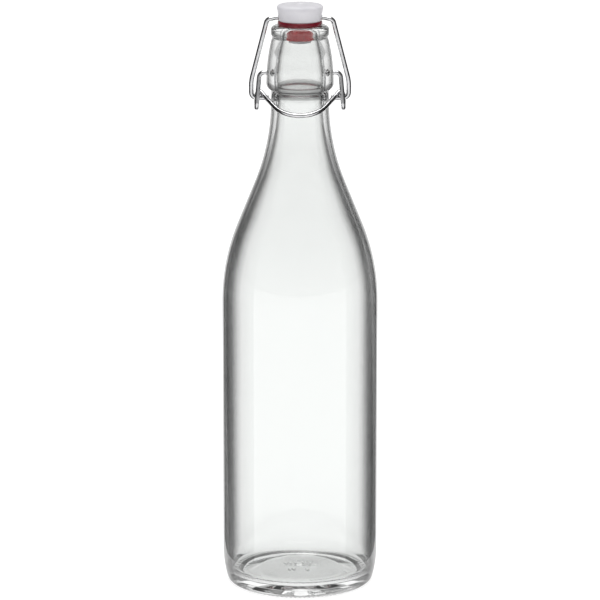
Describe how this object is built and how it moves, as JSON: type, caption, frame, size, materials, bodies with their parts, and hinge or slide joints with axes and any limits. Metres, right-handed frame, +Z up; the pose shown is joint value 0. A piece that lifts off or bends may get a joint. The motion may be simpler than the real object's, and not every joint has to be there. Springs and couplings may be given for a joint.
{
  "type": "swing-top growler",
  "caption": "Clear glass swing-top bottle: a straight round body, long neck and thick lip closed by a plastic cap with a rubber gasket, held down by a wire bail and lever.",
  "frame": {"origin": "middle of the standing ring, on the surface that the bottle stands on", "axes": "+Z up along the bottle's axis, the lever's handle faces -Y, and the closure's pivots run along X"},
  "size_m": [0.0842, 0.0842, 0.3181],
  "materials": {
    "glass": "clear flint glass",
    "cap_plastic": "moulded matte white",
    "gasket_rubber": "satin red rubber",
    "wire_steel": "bright drawn spring wire"
  },
  "bodies": {
    "bottle": {"bottle": "glass"},
    "lever": {"lever": "wire_steel"},
    "bail": {"bail": "wire_steel"},
    "stopper": {"stopper": "cap_plastic", "gasket": "gasket_rubber"}
  },
  "joints": [
    {"name": "lever_pivot", "type": "hinge", "parent": "bottle", "child": "lever", "pos_m": [0, 0, 0.2813], "axis": [-1, 0, 0], "range_deg": [0, 95]},
    {"name": "bail_pivot", "type": "hinge", "parent": "lever", "child": "bail", "pos_m": [0, 0.0008, 0.2674], "axis": [-1, 0, 0], "range_deg": [-69.4, 0]},
    {"name": "stopper_pivot", "type": "hinge", "parent": "bail", "child": "stopper", "pos_m": [0, 0, 0.31077], "axis": [-1, 0, 0], "range_deg": [-25.7, 0]}
  ],
  "couplings": [
    {"joint": "bail_pivot", "follows": "lever_pivot", "ratio": -0.73},
    {"joint": "stopper_pivot", "follows": "lever_pivot", "ratio": -0.27}
  ]
}
